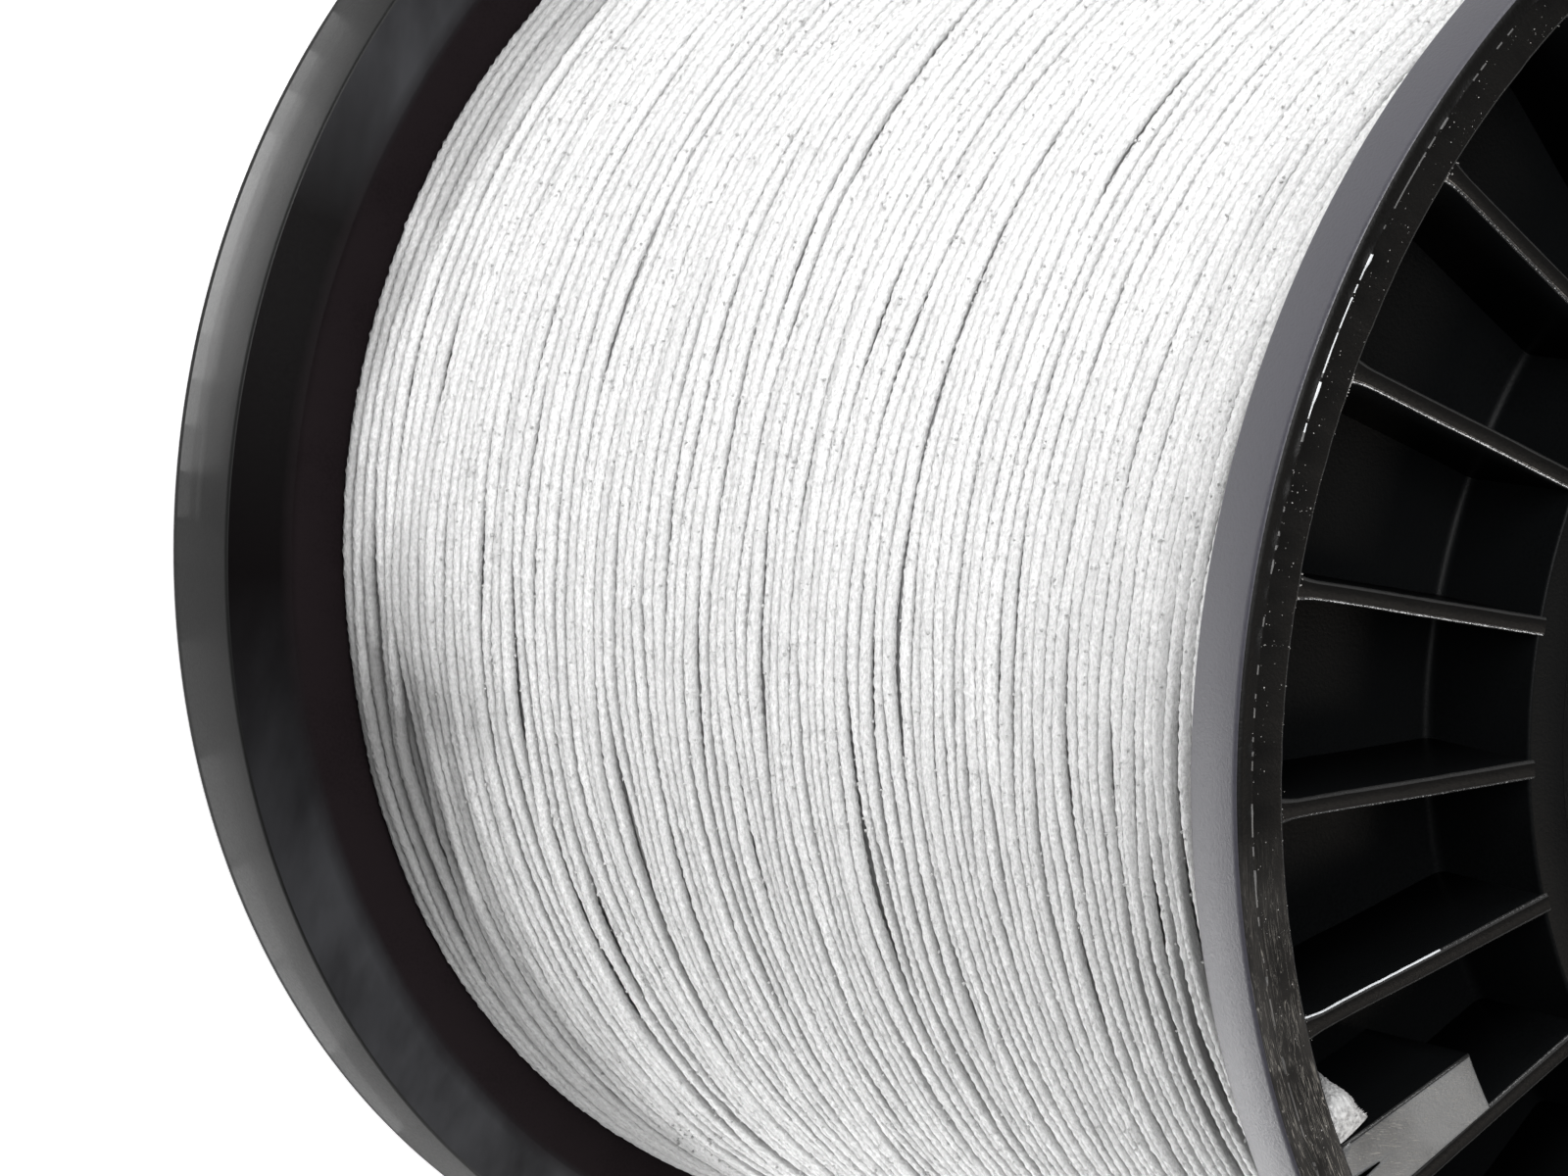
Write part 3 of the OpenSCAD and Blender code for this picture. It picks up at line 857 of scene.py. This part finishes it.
COMMON = [FACE, POCKET, INNER, WORN, PAD_TOP, FLASH_HIGHLIGHT, GLINT_PAINT]
flange(
    "near_flange_moulding", "near_flange", NEAR, lambda y: REEL_W - y, True,
    [NEAR_RIM, *COMMON], slotted=True,
)
flange("far_flange_moulding", "far_flange", FAR, lambda y: y, False, [FAR_RIM, *COMMON])

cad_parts["barrel"].data.materials.clear()
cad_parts["barrel"].data.materials.append(TUBE)

winding, strand_points, seeded = top_layer()
under_layer()
fuzz(strand_points, seeded)
ring_specks()
free_end()
core_in_r = BARREL_R + 0.1
core_radii = (core_in_r, CORE_R, CORE_R, core_in_r, core_in_r)
core_profile = list(zip(core_radii, (WIND_LO, WIND_LO, WIND_HI, WIND_HI, WIND_LO)))
core_points, core_quads, core_uv = lathe(core_profile, 180)
# The core wears the darker braid: painted shade of the deep layers.
core = piece("string_core", core_points, [core_quads], [SHADED], uv=core_uv, smooth=False)
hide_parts("string_outer_turns")
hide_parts("string_inner_layers")

# ---------------------------------------------------------------- camera
# Place and direction solved from the flanges' edges in the photograph
CAMERA = (251.45, -4.41, 326.8)
cam_data = bpy.data.cameras.new("camera")
cam_data.lens = 204.6
cam_data.sensor_width = 36.0
camera = bpy.data.objects.new("camera", cam_data)
bpy.context.scene.collection.objects.link(camera)
right = Vector((-0.78781, -0.16340, 0.59385))
up = Vector((0.11659, -0.98630, -0.11671))
back = right.cross(up)
turn = Matrix((right, up, back)).transposed().to_4x4()
camera.matrix_world = Matrix.Translation(Vector(CAMERA) * MM) @ turn
bpy.context.scene.camera = camera


# ---------------------------------------------------------------- stage and light
MIDDLE = (15, 0, 38)


def bearing(azimuth, elevation, distance):
    """Place at a distance from MIDDLE, in a direction given in degrees."""
    a, e = math.radians(azimuth), math.radians(elevation)
    offset = (math.cos(e) * math.cos(a), math.cos(e) * math.sin(a), math.sin(e))
    return tuple(m + distance * k for m, k in zip(MIDDLE, offset))


def lamp(name, position, target, size, power, colour=(1.0, 1.0, 1.0), shape="RECTANGLE"):
    """An area light of size mm and power W that the camera doesn't see."""
    data = bpy.data.lights.new(name, "AREA")
    data.shape = shape
    data.size, data.size_y = size[0] * MM, size[1] * MM
    data.energy = power
    data.color = colour
    thing = bpy.data.objects.new(name, data)
    bpy.context.scene.collection.objects.link(thing)
    place = Vector(position) * MM
    thing.location = place
    thing.rotation_mode = "QUATERNION"
    thing.rotation_quaternion = (Vector(target) * MM - place).to_track_quat("-Z", "Y")
    thing.visible_camera = False


def stage():
    """A plain pale floor just below the reel, seen white."""
    m = Nodes("white_floor")
    m.set(Base_Color=grey(0.85), Roughness=0.9)
    seen = m.add("ShaderNodeLightPath").outputs["Is Camera Ray"]
    m.set(Emission_Color=grey(1.0), Emission_Strength=m.math("MULTIPLY", seen, 0.6))
    size, level = 3000.0 * MM, -0.00005
    corners = [(-size, -size, level), (size, -size, level), (size, size, level), (-size, size, level)]
    data = bpy.data.meshes.new("floor")
    data.from_pydata(corners, [], [(0, 1, 2, 3)])
    data.materials.append(m.material)
    floor = bpy.data.objects.new("floor", data)
    bpy.context.scene.collection.objects.link(floor)


def surroundings():
    """A plain pale world, which the camera sees white."""
    world = bpy.data.worlds.new("studio")
    world.use_nodes = True
    tree = world.node_tree
    background = tree.nodes["Background"]
    background.inputs["Color"].default_value = grey(1.0)
    glow = tree.nodes.new("ShaderNodeMapRange")
    glow.inputs["To Min"].default_value = 0.2
    seen = tree.nodes.new("ShaderNodeLightPath").outputs["Is Camera Ray"]
    tree.links.new(seen, glow.inputs["Value"])
    tree.links.new(glow.outputs["Result"], background.inputs["Strength"])
    bpy.context.scene.world = world


stage()
surroundings()
AWAY = 450
SOFT = (200, 200)
lamp("top", bearing(-20, 62, AWAY), MIDDLE, SOFT, 1.25)
lamp("front_high", bearing(-40, 40, AWAY), MIDDLE, SOFT, 1.08)
lamp("front", bearing(-10, 40, AWAY), MIDDLE, SOFT, 0.1)
lamp("upper_side", bearing(-75, 8, AWAY), MIDDLE, SOFT, 0.55)
lamp("lower_side", bearing(120, 8, AWAY), MIDDLE, SOFT, 1.9)
lamp("warm_back", (-61, 45, 193), (28, 22, 73.6), (60, 40), 0.05, (1.0, 0.9, 0.8))
lamp("glint", (-12.6, -263.5, 179), (30, 14, 73.5), (30, 30), 0.02)


def mirrored(degrees, height):
    """Place on the floor that a rim's side mirrors to the camera at one angle and height."""
    a = math.radians(degrees)
    n = Vector((math.cos(a), math.sin(a), 0))
    p = FLANGE_R * n + Vector((0, 0, height))
    v = (Vector(CAMERA) - p).normalized()
    m = 2 * v.dot(n) * n - v
    return p + m * (height - 0.5) / -m.z


# Discs on the floor that the rims mirror: angle and power in mW.
FAR_GLOW = [
    (-18, 0.26), (-15, 0.72), (-12, 0.9), (-9, 0.9), (-6, 0.9), (-3, 0.45), (0, 0.04),
    (20, 0.1), (28, 0.2), (36, 0.34), (44, 0.34), (52, 0.16),
]
NEAR_GLOW = [
    (-24, 0.3), (-15, 0.6), (-6, 1.3), (3, 4.0), (12, 8.2), (21, 11.5), (30, 13.5), (39, 12.5), (48, 10.0),
]
for name, discs, height, width in (("far_glow", FAR_GLOW, 2.6, 16), ("near_glow", NEAR_GLOW, 72.2, 26)):
    for n, (a, power) in enumerate(discs):
        spot = mirrored(a, height)
        above = spot + Vector((0, 0, 100))
        lamp(f"{name}_{n + 1}", spot, above, (width, width), power * 0.001, shape="DISK")

bpy.context.scene.view_settings.view_transform = "Standard"
